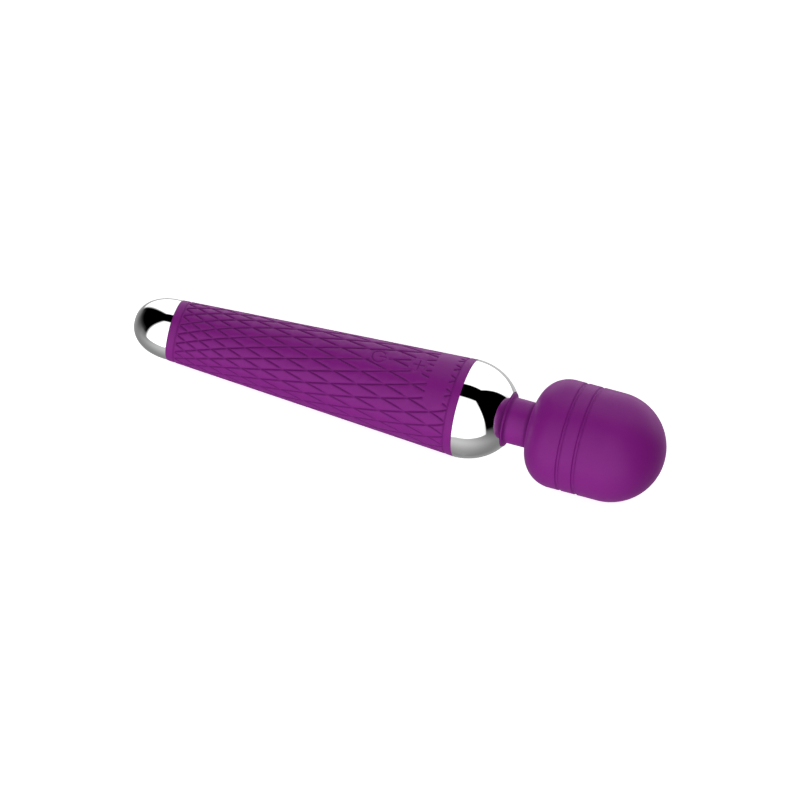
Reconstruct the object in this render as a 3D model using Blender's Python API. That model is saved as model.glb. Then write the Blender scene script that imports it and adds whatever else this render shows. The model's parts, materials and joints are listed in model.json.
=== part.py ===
"""A cordless wand massager: a tapered handle in a silicone sleeve between two chrome caps, a short flexible
neck, and a round silicone head with an eccentric-weight motor inside.

Everything is laid out in the wand's own frame first: x runs along its axis from the rear tip to the tip of the
head, and z points out of the side with the buttons. The empty wand_axis then lays the wand down on its sleeve,
with the buttons up, the head towards +X and the middle of its base at the origin.
"""

import math

import bmesh
import bpy
import numpy as np
from mathutils import Matrix, Vector

MM = 0.001

# Stations along the axis and outer radii.
REAR_CAP_LENGTH = 16.7 * MM
REAR_RADIUS = 12.24 * MM
REAR_CAP_RADIUS = 12.1 * MM
REAR_CAP_POWER = 2.2
SLEEVE_FRONT = 138.0 * MM
FRONT_RADIUS = 19.76 * MM
FRONT_CAP_SEMI_AXIS = 21.3 * MM
MOUTH_RADIUS = 11.25 * MM
LIP_RADIUS = 10.9 * MM
LIP_FRONT = 155.75 * MM
NECK_START = 156.5 * MM
NECK_RADIUS = 9.25 * MM
NECK_FRONT_RADIUS = 9.2 * MM
HEAD_REAR = 165.8 * MM
HEAD_RADIUS = 21.9 * MM
SHOULDER_RADIUS = 12.2 * MM
HEAD_LENGTH = 54.2 * MM
NECK_PIVOT = 161.3 * MM

# Walls and fits.
GAP = 0.3 * MM
SLEEVE_WALL = 1.6 * MM
SHELL_WALL = 1.8 * MM
CAP_WALL = 1.6 * MM
COVER_WALL = 2.0 * MM
RUNNING_CLEARANCE = 0.07 * MM

# Buttons: places along the axis, the round pad of each, and how far it travels.
BUTTONS = {"power_button": 101.4 * MM, "plus_button": 118.0 * MM}
BUTTON_RADIUS = 3.0 * MM
BUTTON_WALL = 1.2 * MM
BUTTON_TRAVEL = 0.45 * MM
PLUNGER_RADIUS = 2.0 * MM

# Inside the handle.
BATTERY_REAR = 30.0 * MM
BATTERY_LENGTH = 50.0 * MM
BATTERY_RADIUS = 7.1 * MM
BOARD_REAR = 90.0 * MM
BOARD_FRONT = 125.0 * MM
BOARD_WIDTH = 18.0 * MM
BOARD_TOP = 7.0 * MM
BOARD_THICKNESS = 1.6 * MM
SWITCH_SIDE = 6.0 * MM
SWITCH_HEIGHT = 3.5 * MM
SWITCH_STEM = 1.5 * MM
BOARD_SCREWS = {"board_screw_rear": 94.0 * MM, "board_screw_front": 109.7 * MM}
SHELL_SCREWS = {"shell_screw_rear": 86.0 * MM, "shell_screw_front": 129.0 * MM}
SCREW_RADIUS = 0.8 * MM
SCREW_HEAD_RADIUS = 1.7 * MM
SCREW_HOLE_RADIUS = 1.1 * MM
SOCKET_RADIUS = 3.0 * MM
SOCKET_FACE = 0.6 * MM
LEAD_RADIUS = 0.8 * MM
WIRE_RADIUS = 0.45 * MM

# Inside the neck and the head.
SPRING_RADIUS = 5.7 * MM
SPRING_WIRE = 0.55 * MM
SPRING_TURNS = 6
BOSS_RADIUS = 4.6 * MM
WIRE_HOLE = 2.0 * MM
HOUSING_SPLIT = 188.0 * MM
MOTOR_REAR = 173.2 * MM
MOTOR_FRONT = 201.0 * MM
MOTOR_RADIUS = 12.0 * MM
SHAFT_RADIUS = 1.0 * MM
WEIGHT_RADIUS = 10.5 * MM

# Facets round each kind of turned piece.
BODY_FACETS = 36
HEAD_FACETS = 40
INNER_FACETS = 24
SMALL_FACETS = 12

TAPER = (FRONT_RADIUS - REAR_RADIUS) / (SLEEVE_FRONT - REAR_CAP_LENGTH)
TILT = math.atan(TAPER)
BATTERY_FRONT = BATTERY_REAR + BATTERY_LENGTH
BOARD_BOTTOM = BOARD_TOP - BOARD_THICKNESS
SWITCH_TOP = BOARD_TOP + GAP + SWITCH_HEIGHT + SWITCH_STEM
PLUNGER_BOTTOM = SWITCH_TOP + BUTTON_TRAVEL + 0.1 * MM
NOSE_CENTRE = HEAD_REAR + HEAD_LENGTH - HEAD_RADIUS
SHOULDER_CENTRE = HEAD_REAR + SHOULDER_RADIUS
HOUSING_INSET = COVER_WALL + GAP


def sleeve_radius(x):
    """The sleeve's outer radius at a station along the axis."""
    return REAR_RADIUS + (x - REAR_CAP_LENGTH) * TAPER


def shell_radius(x):
    """The hard shell's outer radius under the sleeve."""
    return sleeve_radius(x) - SLEEVE_WALL - GAP


def bore_radius(x):
    """The radius of the space inside the hard shell."""
    return shell_radius(x) - SHELL_WALL


def dome(root_x, tip_x, radius, from_radius, to_radius, points, power=2.0):
    """Points of a dome's outline that ends at tip_x, from one radius to another. A power of 2 is an ellipse."""
    outline = []
    first = math.asin((from_radius / radius) ** (power / 2))
    last = math.asin((to_radius / radius) ** (power / 2))
    for turn in np.linspace(first, last, points):
        along = abs(math.cos(turn)) ** (2 / power)
        outline.append((root_x + (tip_x - root_x) * along, radius * math.sin(turn) ** (2 / power)))
    return outline


def head_outline(inset, from_x, to_x, shoulder_points=5, nose_points=6):
    """The head's outline moved inwards by inset, from the shoulder to the nose, between two stations."""
    shoulder = SHOULDER_RADIUS - inset
    nose = HEAD_RADIUS - inset
    outline = []
    for turn in np.linspace(math.pi, math.pi / 2, shoulder_points):
        x = SHOULDER_CENTRE + shoulder * math.cos(turn)
        outline.append((x, HEAD_RADIUS - SHOULDER_RADIUS + shoulder * math.sin(turn)))
    for turn in np.linspace(math.pi / 2, 0, nose_points):
        outline.append((NOSE_CENTRE + nose * math.cos(turn), nose * math.sin(turn)))
    return [(x, max(r, 0)) for x, r in outline if from_x <= x <= to_x]


def material(name, colour, roughness, metallic=0.0):
    made = bpy.data.materials.new(name)
    made.use_nodes = True
    shader = made.node_tree.nodes["Principled BSDF"]
    shader.inputs["Base Color"].default_value = (*colour, 1)
    shader.inputs["Roughness"].default_value = roughness
    shader.inputs["Metallic"].default_value = metallic
    made.diffuse_color = (*colour, 1)
    return made


def empty(name, parent=None, x=0.0):
    """A named point on the wand's axis that pieces are parented to."""
    made = bpy.data.objects.new(name, None)
    made.empty_display_size = 0.01
    bpy.context.collection.objects.link(made)
    if parent:
        made.parent = parent
        made.location.x = x - stations[parent.name]
    stations[name] = x
    return made


def add_object(name, bm, finish, parent, sharp_degrees=35):
    """Makes an object of a mesh drawn in the wand's frame, with its origin at its parent."""
    bmesh.ops.translate(bm, vec=(-stations[parent.name], 0, 0), verts=bm.verts)
    mesh = bpy.data.meshes.new(name)
    bm.to_mesh(mesh)
    bm.free()
    mesh.shade_smooth()
    mesh.set_sharp_from_angle(angle=math.radians(sharp_degrees))
    mesh.materials.append(finish)
    made = bpy.data.objects.new(name, mesh)
    made.parent = parent
    bpy.context.collection.objects.link(made)
    return made


def spun(outline, facets, half_step=False, sweep=2 * math.pi, start=0.0):
    """A mesh turned about the axis from a closed outline of (x, radius) points, whose sides on the axis are left out.

    With half_step a facet faces straight down and touches the true circle, so that the wand lies on a flat.
    """
    grow = 1 / math.cos(math.pi / facets) if half_step else 1.0
    phase = start + (math.pi / facets if half_step else 0.0)
    turn = Matrix.Rotation(phase, 4, "X")
    bm = bmesh.new()
    points = [bm.verts.new(turn @ Vector((x, 0, r * grow))) for x, r in outline]
    sides = zip(points, points[1:] + points[:1])
    edges = [bm.edges.new(side) for side in sides if side[0].co.yz.length + side[1].co.yz.length > 0]
    whole = sweep > 1.999 * math.pi
    bmesh.ops.spin(
        bm, geom=points + edges, axis=(1, 0, 0), angle=sweep, steps=facets, use_merge=whole
    )
    bmesh.ops.remove_doubles(bm, verts=bm.verts, dist=1e-7)
    if not whole:
        rim = [edge for edge in bm.edges if edge.is_boundary]
        bmesh.ops.holes_fill(bm, edges=rim, sides=0)
    bmesh.ops.recalc_face_normals(bm, faces=bm.faces)
    return bm


def turned(name, outline, finish, parent, facets=INNER_FACETS, **options):
    return add_object(name, spun(outline, facets, **options), finish, parent)


def block(low, high):
    """A box between two corners."""
    bm = bmesh.new()
    bmesh.ops.create_cube(bm, size=1)
    size = Vector(high) - Vector(low)
    bmesh.ops.scale(bm, vec=size, verts=bm.verts)
    bmesh.ops.translate(bm, vec=Vector(low) + size / 2, verts=bm.verts)
    return bm


def post(x, low, high, radius, y=0.0, facets=SMALL_FACETS):
    """A round post standing along z."""
    bm = bmesh.new()
    bmesh.ops.create_cone(
        bm, cap_ends=True, segments=facets, radius1=radius, radius2=radius, depth=high - low
    )
    bmesh.ops.translate(bm, vec=(x, y, (low + high) / 2), verts=bm.verts)
    return bm


def tool(name, bm, parent):
    """A helper shape for a Boolean, which isn't a piece of the wand."""
    made = add_object(name, bm, finishes["helper"], parent)
    made.hide_render = True
    made.display_type = "WIRE"
    return made


def combine(obj, operation, name, bm):
    """Adds a Boolean with a helper shape drawn in the wand's frame."""
    modifier = obj.modifiers.new(name, "BOOLEAN")
    modifier.operation = operation
    modifier.solver = "EXACT"
    modifier.object = tool(f"{obj.name}_{name}", bm, obj.parent)


def smooth_route(points, spacing):
    """A smooth curve through the points, read at an even spacing."""
    knots = np.array(points)
    ends = np.vstack([2 * knots[0] - knots[1], knots, 2 * knots[-1] - knots[-2]])
    fine = []
    for before, a, b, after in zip(ends, ends[1:], ends[2:], ends[3:]):
        for t in np.linspace(0, 1, 12, endpoint=False):
            bend = 2 * a + (b - before) * t
            bend = bend + (2 * before - 5 * a + 4 * b - after) * t**2
            fine.append((bend + (3 * a - before - 3 * b + after) * t**3) / 2)
    fine = np.vstack([fine, knots[-1]])
    along = np.concatenate([[0], np.cumsum(np.linalg.norm(np.diff(fine, axis=0), axis=1))])
    at = np.linspace(0, along[-1], max(3, round(along[-1] / spacing) + 1))
    return np.stack([np.interp(at, along, fine[:, k]) for k in range(3)], axis=1)


def tube(name, points, radius, finish, parent, resolution=1):
    """A round lead or wire along a list of points in the wand's frame."""
    curve = bpy.data.curves.new(name, "CURVE")
    curve.dimensions = "3D"
    curve.bevel_depth = radius
    curve.bevel_resolution = resolution
    curve.use_fill_caps = True
    spline = curve.splines.new("POLY")
    spline.points.add(len(points) - 1)
    for point, place in zip(spline.points, points):
        point.co = (place[0] - stations[parent.name], place[1], place[2], 1)
    curve.materials.append(finish)
    made = bpy.data.objects.new(name, curve)
    made.parent = parent
    bpy.context.collection.objects.link(made)
    return made


def lead(name, route_mm, radius, finish, parent):
    """A lead through a few points given in millimetres."""
    route = smooth_route([[c * MM for c in point] for point in route_mm], 5 * radius)
    return tube(name, route, radius, finish, parent)


def rear_cap(parent):
    """The chrome dome at the rear, with the socket's hole in its pole and a spigot that enters the shell."""
    end = REAR_CAP_LENGTH - GAP
    hole = SOCKET_RADIUS + GAP
    inner_end = end - 2 * MM
    inner_radius = REAR_CAP_RADIUS - CAP_WALL
    spigot = bore_radius(end) - GAP
    outline = dome(REAR_CAP_LENGTH, 0, REAR_CAP_RADIUS, hole, REAR_CAP_RADIUS * 0.995, 8, REAR_CAP_POWER)
    outline += [(end, REAR_CAP_RADIUS), (end, spigot), (end + 6.6 * MM, spigot)]
    outline += [(end + 6.6 * MM, spigot - 1.5 * MM), (inner_end, spigot - 1.5 * MM)]
    outline += dome(inner_end, CAP_WALL, inner_radius, inner_radius, hole, 4, REAR_CAP_POWER)
    turned("rear_cap", outline, finishes["chrome"], parent, BODY_FACETS)


def charge_socket(parent):
    """The barrel socket in the rear cap: a flat ring face, a round hole and a centre pin."""
    flange = SOCKET_FACE + 2.8 * MM
    back = SOCKET_FACE + 8.2 * MM
    floor = SOCKET_FACE + 6.0 * MM
    pin = 0.45 * MM
    hole = 1.25 * MM
    outline = [(SOCKET_FACE + 0.8 * MM, 0), (SOCKET_FACE + 0.8 * MM, pin), (floor, pin), (floor, hole)]
    outline += [(SOCKET_FACE, hole), (SOCKET_FACE, SOCKET_RADIUS), (flange, SOCKET_RADIUS)]
    outline += [(flange, 4.5 * MM), (flange + 1 * MM, 4.5 * MM), (flange + 1 * MM, SOCKET_RADIUS)]
    outline += [(back, SOCKET_RADIUS), (back, 0)]
    turned("charge_socket", outline, finishes["black_plastic"], parent, 20)


def grip_sleeve(parent):
    """The silicone sleeve, a cone with a round hole for each button."""
    ends = (REAR_CAP_LENGTH, SLEEVE_FRONT)
    outline = [(x, sleeve_radius(x)) for x in ends]
    outline += [(x, sleeve_radius(x) - SLEEVE_WALL) for x in reversed(ends)]
    sleeve = turned(
        "grip_sleeve", outline, finishes["silicone"], parent, BODY_FACETS, half_step=True
    )
    for name, x in BUTTONS.items():
        hole = post(x, 0.5 * REAR_RADIUS, 1.5 * FRONT_RADIUS, BUTTON_RADIUS + GAP, facets=24)
        combine(sleeve, "DIFFERENCE", f"{name}_hole", hole)


def shell_half(name, side, parent):
    """Half of the hard shell under the sleeve. side is 1 for the half under the buttons and -1 for the other."""
    ends = (REAR_CAP_LENGTH + GAP, SLEEVE_FRONT - GAP)
    outline = [(x, shell_radius(x)) for x in ends] + [(x, bore_radius(x)) for x in reversed(ends)]
    shell = turned(name, outline, finishes["abs"], parent, BODY_FACETS, half_step=True)
    split = side * GAP / 2
    low = (0, -0.03, min(split, side * 0.03))
    high = (0.15, 0.03, max(split, side * 0.03))
    combine(shell, "INTERSECT", "half", block(low, high))
    for screw, x in SHELL_SCREWS.items():
        wall = side * (bore_radius(x) + SHELL_WALL / 2)
        stand = post(x, min(split, wall), max(split, wall), 2.6 * MM)
        combine(shell, "UNION", f"{screw}_post", stand)
    return shell


def upper_shell(parent):
    shell = shell_half("shell_upper", 1, parent)
    for name, x in BOARD_SCREWS.items():
        top = bore_radius(x) + SHELL_WALL / 2
        combine(shell, "UNION", f"{name}_post", post(x, BOARD_TOP + GAP, top, 2.0 * MM))
        combine(shell, "DIFFERENCE", f"{name}_hole", post(x, 6 * MM, 11.3 * MM, SCREW_HOLE_RADIUS))
    for name, x in SHELL_SCREWS.items():
        combine(shell, "DIFFERENCE", f"{name}_hole", post(x, -1 * MM, 6 * MM, SCREW_HOLE_RADIUS))
    for name, x in BUTTONS.items():
        hole = post(x, 5 * MM, 30 * MM, PLUNGER_RADIUS + GAP)
        combine(shell, "DIFFERENCE", f"{name}_hole", hole)


def screw_seat(x):
    """Where the head of a shell screw stops, below the axis."""
    return -(bore_radius(x) - 2.4 * MM)


def lower_shell(parent):
    shell = shell_half("shell_lower", -1, parent)
    for name, x in SHELL_SCREWS.items():
        seat = screw_seat(x)
        combine(shell, "DIFFERENCE", f"{name}_hole", post(x, -30 * MM, 1 * MM, SCREW_HOLE_RADIUS))
        recess = post(x, -30 * MM, seat, SCREW_HEAD_RADIUS + GAP)
        combine(shell, "DIFFERENCE", f"{name}_recess", recess)


def screw(name, x, seat, length, parent):
    """A screw that points up from its seat, with a slot in its head."""
    head = seat - GAP
    bm = post(x, head - 1.2 * MM, head, SCREW_HEAD_RADIUS)
    made = add_object(name, bm, finishes["steel"], parent)
    combine(made, "UNION", "shank", post(x, head - 0.6 * MM, seat + length, SCREW_RADIUS, facets=12))
    slot_low = (x - SCREW_HEAD_RADIUS * 1.2, -0.2 * MM, head - 2 * MM)
    slot_high = (x + SCREW_HEAD_RADIUS * 1.2, 0.2 * MM, head - 0.7 * MM)
    combine(made, "DIFFERENCE", "slot", block(slot_low, slot_high))


def button(name, x, parent):
    """A round pad flush with the sleeve, and the plunger under it that reaches the switch."""
    ends = (x - 2 * BUTTON_RADIUS, x + 2 * BUTTON_RADIUS)
    outline = [(at, sleeve_radius(at)) for at in ends]
    outline += [(at, sleeve_radius(at) - BUTTON_WALL) for at in reversed(ends)]
    made = turned(name, outline, finishes["silicone"], parent, BODY_FACETS, half_step=True)
    pad = post(x, 5 * MM, 30 * MM, BUTTON_RADIUS, facets=24)
    combine(made, "INTERSECT", "pad", pad)
    stem = post(x, PLUNGER_BOTTOM, sleeve_radius(x) - BUTTON_WALL / 2, PLUNGER_RADIUS)
    combine(made, "UNION", "plunger", stem)


def tact_switch(name, x, parent):
    half = SWITCH_SIDE / 2
    low = BOARD_TOP + GAP
    bm = block((x - half, -half, low), (x + half, half, low + SWITCH_HEIGHT))
    made = add_object(name, bm, finishes["black_plastic"], parent)
    stem = post(x, low + SWITCH_HEIGHT / 2, SWITCH_TOP, 1.75 * MM)
    combine(made, "UNION", "stem", stem)


def control_board(parent):
    half = BOARD_WIDTH / 2
    bm = block((BOARD_REAR, -half, BOARD_BOTTOM), (BOARD_FRONT, half, BOARD_TOP))
    board = add_object("control_board", bm, finishes["board"], parent)
    for name, x in BOARD_SCREWS.items():
        combine(board, "DIFFERENCE", f"{name}_hole", post(x, 0, 15 * MM, SCREW_HOLE_RADIUS))
    under = BOARD_BOTTOM - GAP
    chip = block((99 * MM, -3 * MM, under - 1.2 * MM), (105 * MM, 3 * MM, under))
    add_object("motor_driver", chip, finishes["black_plastic"], parent)
    plug = block((116 * MM, -4 * MM, under - 3 * MM), (123 * MM, 4 * MM, under))
    add_object("motor_connector", plug, finishes["ivory_plastic"], parent)


def battery(parent):
    nub = 2.8 * MM
    outline = [(BATTERY_REAR, 0), (BATTERY_REAR, BATTERY_RADIUS), (BATTERY_FRONT, BATTERY_RADIUS)]
    outline += [(BATTERY_FRONT, nub), (BATTERY_FRONT + 1 * MM, nub), (BATTERY_FRONT + 1 * MM, 0)]
    turned("battery", outline, finishes["battery"], parent, 24)


def battery_pad(name, start, parent):
    """A foam ring that holds the battery in the shell, notched on one side for the leads."""
    end = start + 5 * MM
    inner = BATTERY_RADIUS + GAP
    outline = [(start, bore_radius(start) - GAP), (end, bore_radius(end) - GAP), (end, inner), (start, inner)]
    pad = turned(name, outline, finishes["foam"], parent, 24)
    notch = block((start - 1 * MM, -20 * MM, -2.9 * MM), (end + 1 * MM, -5 * MM, 2.9 * MM))
    combine(pad, "DIFFERENCE", "notch", notch)


def handle_leads(parent):
    """The charging lead, the battery's two wires and the motor's lead as far as the neck."""
    lead(
        "charge_lead",
        [(9.2, 0, 0), (13, -0.8, 0.2), (19, -3.5, 0.8), (26, -6.6, 1.4), (32, -8, 1.5), (55, -8.2, 1.5),
         (80, -8.2, 1.5), (88, -7.4, 2.6), (92, -6.8, 4), (93, -6.8, 5.0)],
        0.6 * MM, finishes["black_wire"], parent,
    )  # fmt: skip
    lead(
        "battery_wire_negative",
        [(29.6, -2, -2), (27.6, -3, -2.1), (27.2, -5.5, -2), (29.5, -7.6, -1.7), (34, -8, -1.6),
         (55, -8.2, -1.6), (80, -8.2, -1.6), (88, -5.6, 1), (91.6, -3.8, 3.6), (92.4, -3.6, 5.0)],
        WIRE_RADIUS, finishes["black_wire"], parent,
    )  # fmt: skip
    lead(
        "battery_wire_positive",
        [(81.4, 0, 0), (82.3, 1.6, 0.3), (84.2, 4.4, 1), (88, 5.6, 2.4), (92, 5.7, 3.8), (93, 5.7, 5.0)],
        WIRE_RADIUS, finishes["red_wire"], parent,
    )  # fmt: skip
    lead(
        "motor_lead_rear",
        [(123.9, 0.3, 3.6), (125, 1.2, 3.5), (126.6, 3, 3.2), (129.2, 4.8, 2.6), (134, 4, 1.6),
         (140, 1.3, 0.5), (146, 0, 0), (157.2, 0, 0)],
        LEAD_RADIUS, finishes["black_wire"], parent,
    )  # fmt: skip


def front_cap(parent):
    """The chrome dome at the front. Its spigot enters the shell and its mouth holds the neck's collar."""
    start = SLEEVE_FRONT + GAP
    tip = SLEEVE_FRONT + FRONT_CAP_SEMI_AXIS
    inner_radius = FRONT_RADIUS - CAP_WALL
    inner_tip = tip - CAP_WALL
    web = start + 2.2 * MM
    spigot = bore_radius(132 * MM) - 1.1 * GAP
    outline = [(start, FRONT_RADIUS)]
    edge = MOUTH_RADIUS + 0.2 * MM
    outline += dome(SLEEVE_FRONT, tip, FRONT_RADIUS, FRONT_RADIUS * 0.995, edge, 7)
    mouth = outline[-1][0]
    inner = dome(SLEEVE_FRONT, inner_tip, inner_radius, MOUTH_RADIUS, inner_radius * 0.99, 4)
    outline += [(mouth, MOUTH_RADIUS)] + [point for point in inner if point[0] > web]
    outline += [(web, inner_radius * 0.99), (web, spigot - 1.5 * MM), (132 * MM, spigot - 1.5 * MM)]
    outline += [(132 * MM, spigot), (start, spigot)]
    turned("front_cap", outline, finishes["chrome"], parent, BODY_FACETS)


def neck_socket(parent):
    """The hard seat inside the front cap that carries the rear end of the neck's spring."""
    outline = [(147.5, WIRE_HOLE), (147.5, 6 * MM), (149, 6 * MM), (149, 13.2 * MM), (151, 13.2 * MM)]
    outline += [(151, BOSS_RADIUS), (157.2, BOSS_RADIUS), (157.2, WIRE_HOLE)]
    outline = [(x * MM, r) for x, r in outline]
    turned("neck_socket", outline, finishes["black_plastic"], parent)


def neck_sleeve(parent):
    """The silicone neck, with the lip that closes the cap's mouth."""
    bore = SPRING_RADIUS + SPRING_WIRE + 0.75 * MM
    front = HEAD_REAR - GAP
    outline = [(151.3 * MM, bore), (151.3 * MM, LIP_RADIUS), (LIP_FRONT, LIP_RADIUS)]
    outline += [(NECK_START, NECK_RADIUS), (front, NECK_FRONT_RADIUS), (front, bore)]
    turned("neck_sleeve", outline, finishes["silicone"], parent)


def neck_spring(parent):
    """A steel coil spring from the neck socket to the head's housing."""
    start = 151.3 * MM + SPRING_WIRE
    end = HEAD_REAR + COVER_WALL - SPRING_WIRE
    steps = SPRING_TURNS * 10
    points = []
    for step in range(steps + 1):
        turn = 2 * math.pi * SPRING_TURNS * step / steps
        x = start + (end - start) * step / steps
        points.append((x, SPRING_RADIUS * math.cos(turn), SPRING_RADIUS * math.sin(turn)))
    tube("neck_spring", points, SPRING_WIRE, finishes["steel"], parent)


def neck_bush(parent):
    """A barrel-shaped bush in the middle of the spring. It keeps the coils off the motor's lead."""
    half = 1.25 * MM
    outline = [(NECK_PIVOT - half, WIRE_HOLE), (NECK_PIVOT - half, 3.5 * MM), (NECK_PIVOT, BOSS_RADIUS)]
    outline += [(NECK_PIVOT + half, 3.5 * MM), (NECK_PIVOT + half, WIRE_HOLE)]
    turned("neck_bush", outline, finishes["ivory_plastic"], parent, SMALL_FACETS)


def head_frame(parent):
    """The rear half of the head's hard housing, with the boss that the spring ends on."""
    rear = HEAD_REAR + HOUSING_INSET
    boss = 164.2 * MM
    outer = head_outline(HOUSING_INSET, 0, HOUSING_SPLIT) + [(HOUSING_SPLIT, HEAD_RADIUS - HOUSING_INSET)]
    inset = HOUSING_INSET + SHELL_WALL
    inner = head_outline(inset, 0, HOUSING_SPLIT) + [(HOUSING_SPLIT, HEAD_RADIUS - inset)]
    outline = [(boss, WIRE_HOLE), (boss, 3.2 * MM), (boss + 1 * MM, BOSS_RADIUS), (rear, BOSS_RADIUS)]
    outline += outer + inner[::-1] + [(HEAD_REAR + inset, WIRE_HOLE)]
    turned("head_frame", outline, finishes["abs"], parent)


def head_nose(parent):
    """The front half of the head's hard housing, a plain cup."""
    start = HOUSING_SPLIT + GAP
    inset = HOUSING_INSET + SHELL_WALL
    outer = [(start, HEAD_RADIUS - HOUSING_INSET)] + head_outline(HOUSING_INSET, NOSE_CENTRE, 1)
    inner = [(start, HEAD_RADIUS - inset)] + head_outline(inset, NOSE_CENTRE, 1)
    outline = outer + inner[::-1]
    turned("head_nose", outline, finishes["abs"], parent)


def head_cover(parent):
    """The silicone cover of the head, open round the spring at the rear."""
    opening = SPRING_RADIUS + SPRING_WIRE + 0.75 * MM
    outer = head_outline(0, 0, 1, 7, 8)
    inner = head_outline(COVER_WALL, 0, 1)
    outline = [(HEAD_REAR, opening)] + outer + inner[::-1] + [(HEAD_REAR + COVER_WALL, opening)]
    turned("head_cover", outline, finishes["silicone"], parent, HEAD_FACETS)


def motor(parent, spinning):
    """The motor: can, end bell, front bush, two magnets, and the rotor with the weight on its shaft."""
    can_rear = MOTOR_REAR + 2.8 * MM
    hole = SHAFT_RADIUS + RUNNING_CLEARANCE
    outline = [(can_rear, 11 * MM), (can_rear, MOTOR_RADIUS), (MOTOR_FRONT, MOTOR_RADIUS)]
    outline += [(MOTOR_FRONT, 2.8 * MM), (MOTOR_FRONT - 1 * MM, 2.8 * MM), (MOTOR_FRONT - 1 * MM, 11 * MM)]
    turned("motor_can", outline, finishes["steel"], parent)
    bell = [(MOTOR_REAR, hole), (MOTOR_REAR, MOTOR_RADIUS)]
    bell += [(can_rear - GAP, MOTOR_RADIUS), (can_rear - GAP, hole)]
    turned("motor_end_bell", bell, finishes["black_plastic"], parent)
    bush = [(MOTOR_FRONT - 2.4 * MM, hole), (MOTOR_FRONT - 2.4 * MM, 2.5 * MM)]
    bush += [(MOTOR_FRONT + 0.6 * MM, 2.5 * MM), (MOTOR_FRONT + 0.6 * MM, hole)]
    turned("motor_bush", bush, finishes["bronze"], parent, SMALL_FACETS)
    rear, front = can_rear + 3 * MM, MOTOR_FRONT - 4 * MM
    for name, start in (("motor_magnet_left", 20), ("motor_magnet_right", 200)):
        magnet = [(rear, 8.7 * MM), (rear, 10.7 * MM), (front, 10.7 * MM), (front, 8.7 * MM)]
        turned(
            name, magnet, finishes["magnet"], parent, 10,
            sweep=math.radians(140), start=math.radians(start),
        )  # fmt: skip
    commutator = 2.6 * MM
    outline = [(MOTOR_REAR + 1 * MM, 0), (MOTOR_REAR + 1 * MM, SHAFT_RADIUS), (can_rear, SHAFT_RADIUS)]
    outline += [(can_rear, commutator), (rear - 0.6 * MM, commutator), (rear - 0.6 * MM, SHAFT_RADIUS)]
    outline += [(rear, SHAFT_RADIUS), (rear, 8.2 * MM), (front, 8.2 * MM), (front, SHAFT_RADIUS)]
    outline += [(MOTOR_FRONT + 9.4 * MM, SHAFT_RADIUS), (MOTOR_FRONT + 9.4 * MM, 0)]
    turned("motor_rotor", outline, finishes["copper"], spinning, 24)


def eccentric_weight(parent):
    """A half disc with a round hub, hanging below the shaft."""
    rear = MOTOR_FRONT + 1.5 * MM
    length = 6.5 * MM
    bm = bmesh.new()
    rim = []
    for turn in np.linspace(math.pi, 2 * math.pi, 17):
        rim.append((WEIGHT_RADIUS * math.cos(turn), WEIGHT_RADIUS * math.sin(turn)))
    for turn in np.linspace(0, math.pi, 9):
        rim.append((3 * MM * math.cos(turn), 3 * MM * math.sin(turn)))
    face = bm.faces.new([bm.verts.new((rear, y, z)) for y, z in rim])
    moved = bmesh.ops.extrude_face_region(bm, geom=[face])["geom"]
    raised = [part for part in moved if isinstance(part, bmesh.types.BMVert)]
    bmesh.ops.translate(bm, vec=(length, 0, 0), verts=raised)
    bmesh.ops.recalc_face_normals(bm, faces=bm.faces)
    weight = add_object("eccentric_weight", bm, finishes["brass"], parent)
    radius = SHAFT_RADIUS + 0.05 * MM
    bore = [(rear - 2 * MM, 0), (rear - 2 * MM, radius), (rear + 10 * MM, radius), (rear + 10 * MM, 0)]
    combine(weight, "DIFFERENCE", "bore", spun(bore, 24))


def motor_cushion(name, start, end, parent):
    """A rubber ring between the motor's can and the housing."""
    inner, outer = MOTOR_RADIUS + GAP, 17.5 * MM
    outline = [(start, inner), (start, outer), (end, outer), (end, inner)]
    turned(name, outline, finishes["black_rubber"], parent)


def neck_leads(neck, head):
    """The motor's lead where it flexes in the neck, and from there to the motor."""
    points = [((157.5 + 0.9 * step) * MM, 0, 0) for step in range(8)]
    tube("motor_lead_neck", points, LEAD_RADIUS, finishes["black_wire"], neck)
    lead(
        "motor_lead_front",
        [(164.3, 0, 0), (167, 0, 0), (169.6, 0.2, 0.4), (171.4, 1.4, 2), (172.8, 1.8, 3)],
        LEAD_RADIUS, finishes["black_wire"], head,
    )  # fmt: skip


def lie_down(axis):
    """Tips the wand until the sleeve's lower side is level, and centres its base on the origin."""
    hole = SOCKET_RADIUS + GAP
    cap = dome(REAR_CAP_LENGTH, 0, REAR_CAP_RADIUS, hole, REAR_CAP_RADIUS, 400, REAR_CAP_POWER)
    rear = min(x * math.cos(TILT) - r * math.sin(TILT) for x, r in cap)
    front = NOSE_CENTRE * math.cos(TILT) + HEAD_RADIUS
    drop = REAR_CAP_LENGTH * math.sin(TILT) - REAR_RADIUS * math.cos(TILT)
    axis.rotation_euler.y = -TILT
    axis.location = (-(rear + front) / 2, 0, -drop)


for old in list(bpy.data.objects):
    bpy.data.objects.remove(old)

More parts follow.
